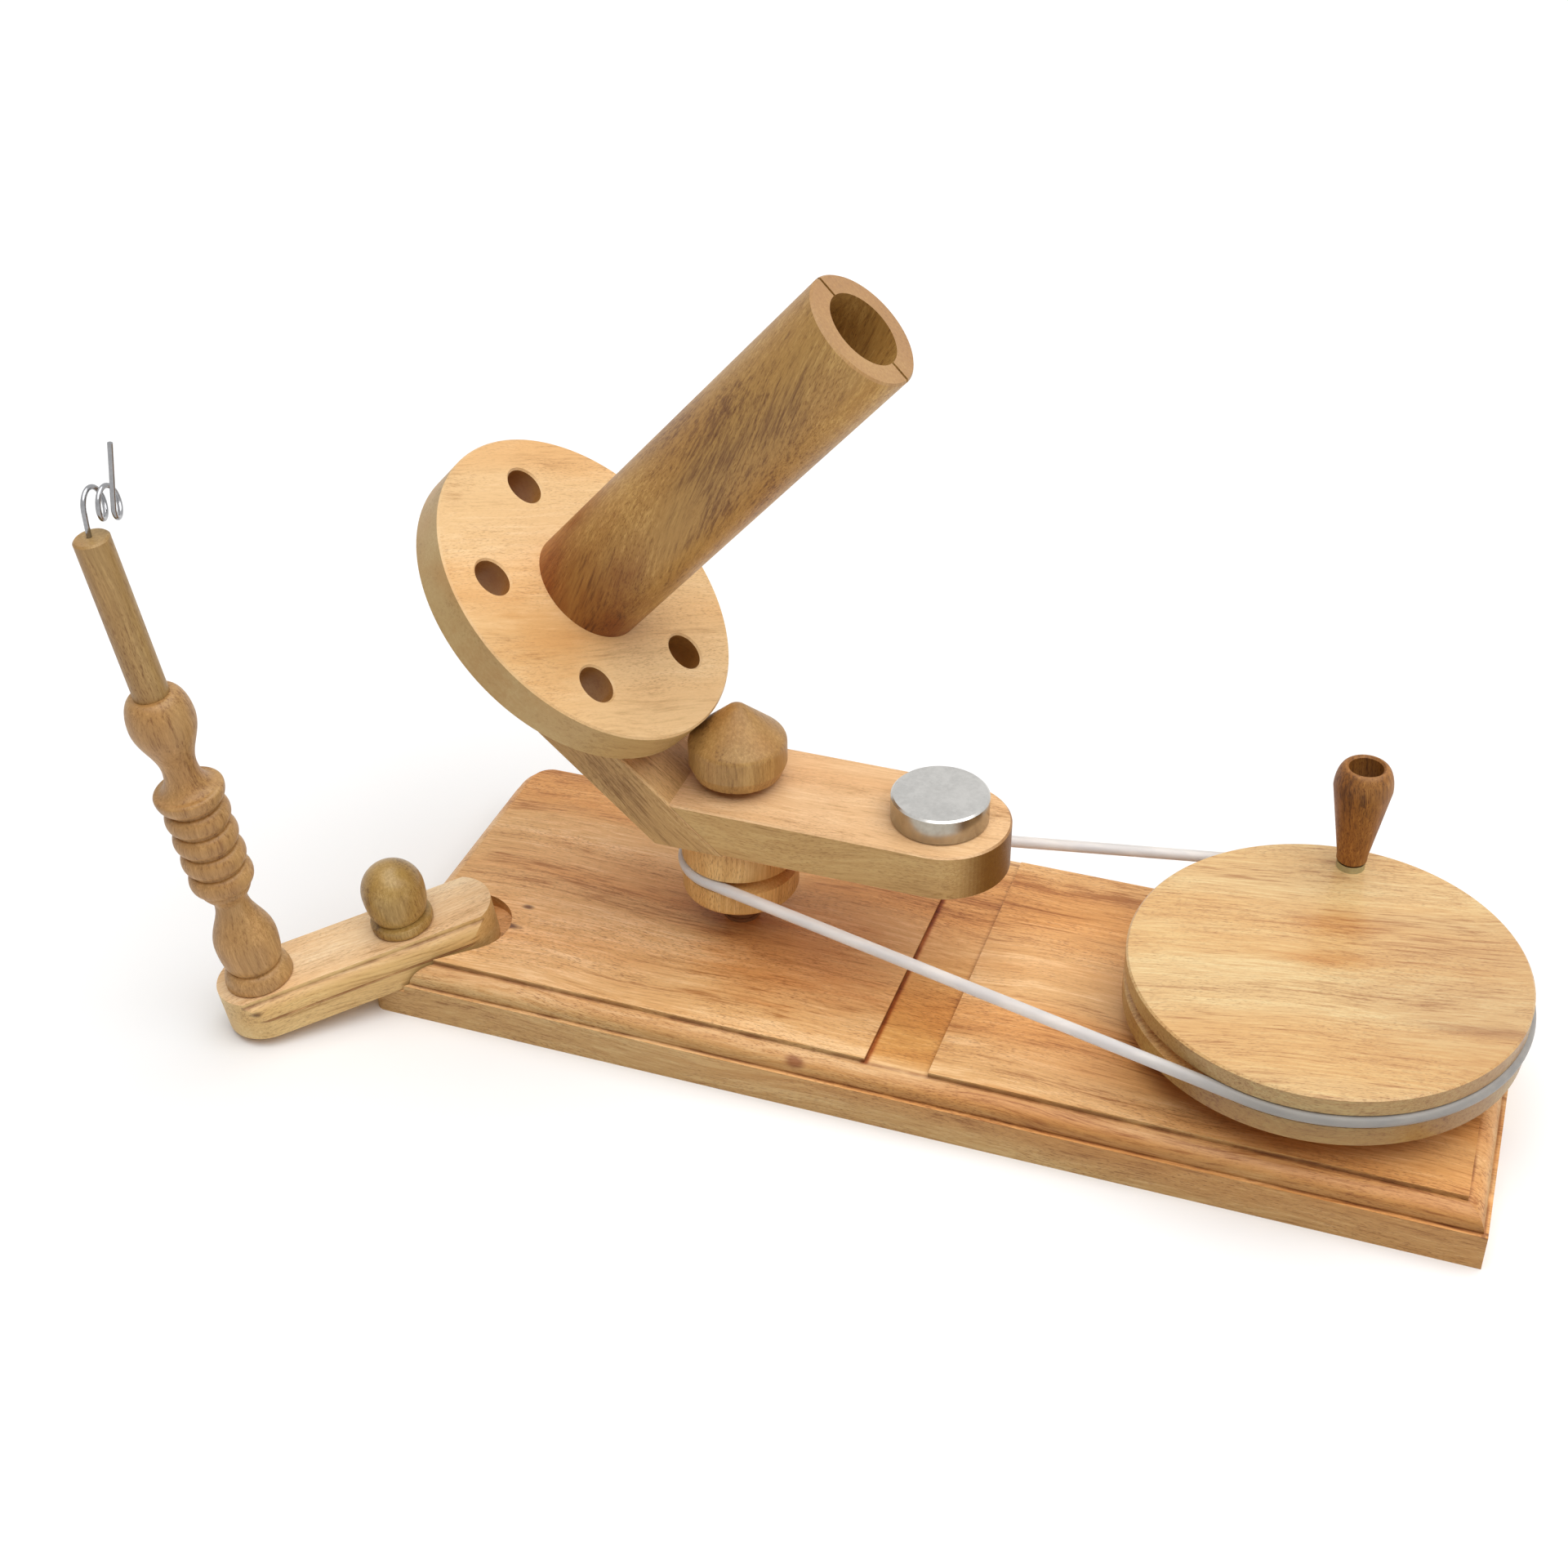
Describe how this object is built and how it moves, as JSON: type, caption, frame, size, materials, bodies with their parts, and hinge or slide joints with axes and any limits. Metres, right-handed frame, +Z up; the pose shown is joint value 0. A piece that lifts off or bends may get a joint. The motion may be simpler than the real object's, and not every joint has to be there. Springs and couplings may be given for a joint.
{
  "type": "yarn ball winder",
  "caption": "Hand-cranked wooden yarn ball winder: a belt-driven bent arm carries a tilted spindle round a fixed friction cone, with a turned yarn guide clamped to the board.",
  "frame": {"origin": "centre of the board's underside", "axes": "+X along the board towards the crank wheel, -Y towards the yarn guide's side, +Z up"},
  "size_m": [0.5324, 0.2132, 0.318],
  "materials": {
    "board_wood": "satin mango wood, honey brown with dark streaks",
    "wheel_wood": "satin mango wood, golden with streaks",
    "arm_wood": "satin mango wood, pale top and olive-brown sides",
    "disc_wood": "satin mango wood, pale with fine fleck",
    "tube_wood": "satin mango wood, mottled brown",
    "turned_wood": "satin turned mango wood, olive brown",
    "guide_wood": "satin turned mango wood, pale",
    "grip_wood": "satin turned wood, dark reddish brown",
    "dowel_wood": "plain beech dowel",
    "steel": "zinc-plated steel",
    "bronze": "plain bearing bronze",
    "dark_steel": "browned steel",
    "weight_steel": "fine-blasted plated steel",
    "ferrule_metal": "dull grey-green plated brass",
    "belt_plastic": "milky translucent",
    "wire_steel": "bright spring wire"
  },
  "bodies": {
    "base": {"base_board": "board_wood", "centre_bolt": "steel", "centre_washer": "dark_steel", "centre_nut": "dark_steel", "centre_spacer": "dark_steel", "cone_washer": "steel", "cone_insert": "bronze", "friction_cone": "turned_wood", "drive_belt": "belt_plastic", "wheel_bush_upper": "bronze", "wheel_bush_lower": "bronze", "guide_insert": "bronze"},
    "wheel": {"drive_wheel": "wheel_wood", "wheel_axle": "steel", "wheel_hub": "steel", "hub_screws": "steel", "wheel_washer": "steel", "wheel_nut": "steel", "grip_ferrule": "ferrule_metal", "grip_screw": "steel"},
    "grip": {"crank_grip": "grip_wood"},
    "arm": {"arm_bar": "arm_wood", "arm_riser": "arm_wood", "bend_dowels": "dowel_wood", "belt_pulley": "turned_wood", "pulley_dowels": "dowel_wood", "arm_bush_upper": "bronze", "arm_bush_lower": "bronze", "counterweight": "weight_steel", "weight_screw": "steel", "spindle_bolt": "steel", "spindle_collar": "steel", "spindle_washer": "steel", "spindle_nut": "steel"},
    "spindle": {"spindle_disc": "disc_wood", "spindle_tube": "tube_wood", "spindle_bush": "bronze"},
    "yarn_guide": {"guide_arm": "guide_wood", "guide_post": "guide_wood", "guide_rod": "guide_wood", "wire_eye": "wire_steel"},
    "knob": {"guide_knob": "turned_wood", "knob_stud": "steel"}
  },
  "joints": [
    {"name": "wheel_spin", "type": "hinge", "parent": "base", "child": "wheel", "pos_m": [0.154, 0, 0.0512], "axis": [0, 0, 1], "continuous": true},
    {"name": "grip_spin", "type": "hinge", "parent": "wheel", "child": "grip", "pos_m": [0.15342, 0.066, 0.0663], "axis": [0, 0, 1], "continuous": true},
    {"name": "arm_spin", "type": "hinge", "parent": "base", "child": "arm", "pos_m": [-0.092, 0, 0.0858], "axis": [0, 0, 1], "continuous": true},
    {"name": "spindle_spin", "type": "hinge", "parent": "arm", "child": "spindle", "pos_m": [-0.15927, 0, 0.17057], "axis": [0.673, 0, 0.7396], "continuous": true},
    {"name": "guide_swivel", "type": "hinge", "parent": "base", "child": "yarn_guide", "pos_m": [-0.2203, -0.0606, 0.01485], "axis": [-0.1034, -0.0931, 0.9903], "range_deg": [-3, 3]},
    {"name": "knob_turn", "type": "hinge", "parent": "base", "child": "knob", "pos_m": [-0.2203, -0.0606, 0.01485], "axis": [-0.1034, -0.0931, 0.9903], "range_deg": [0, 180]}
  ],
  "couplings": [
    {"joint": "arm_spin", "follows": "wheel_spin", "ratio": 3.25},
    {"joint": "spindle_spin", "follows": "wheel_spin", "ratio": 0.8888}
  ]
}
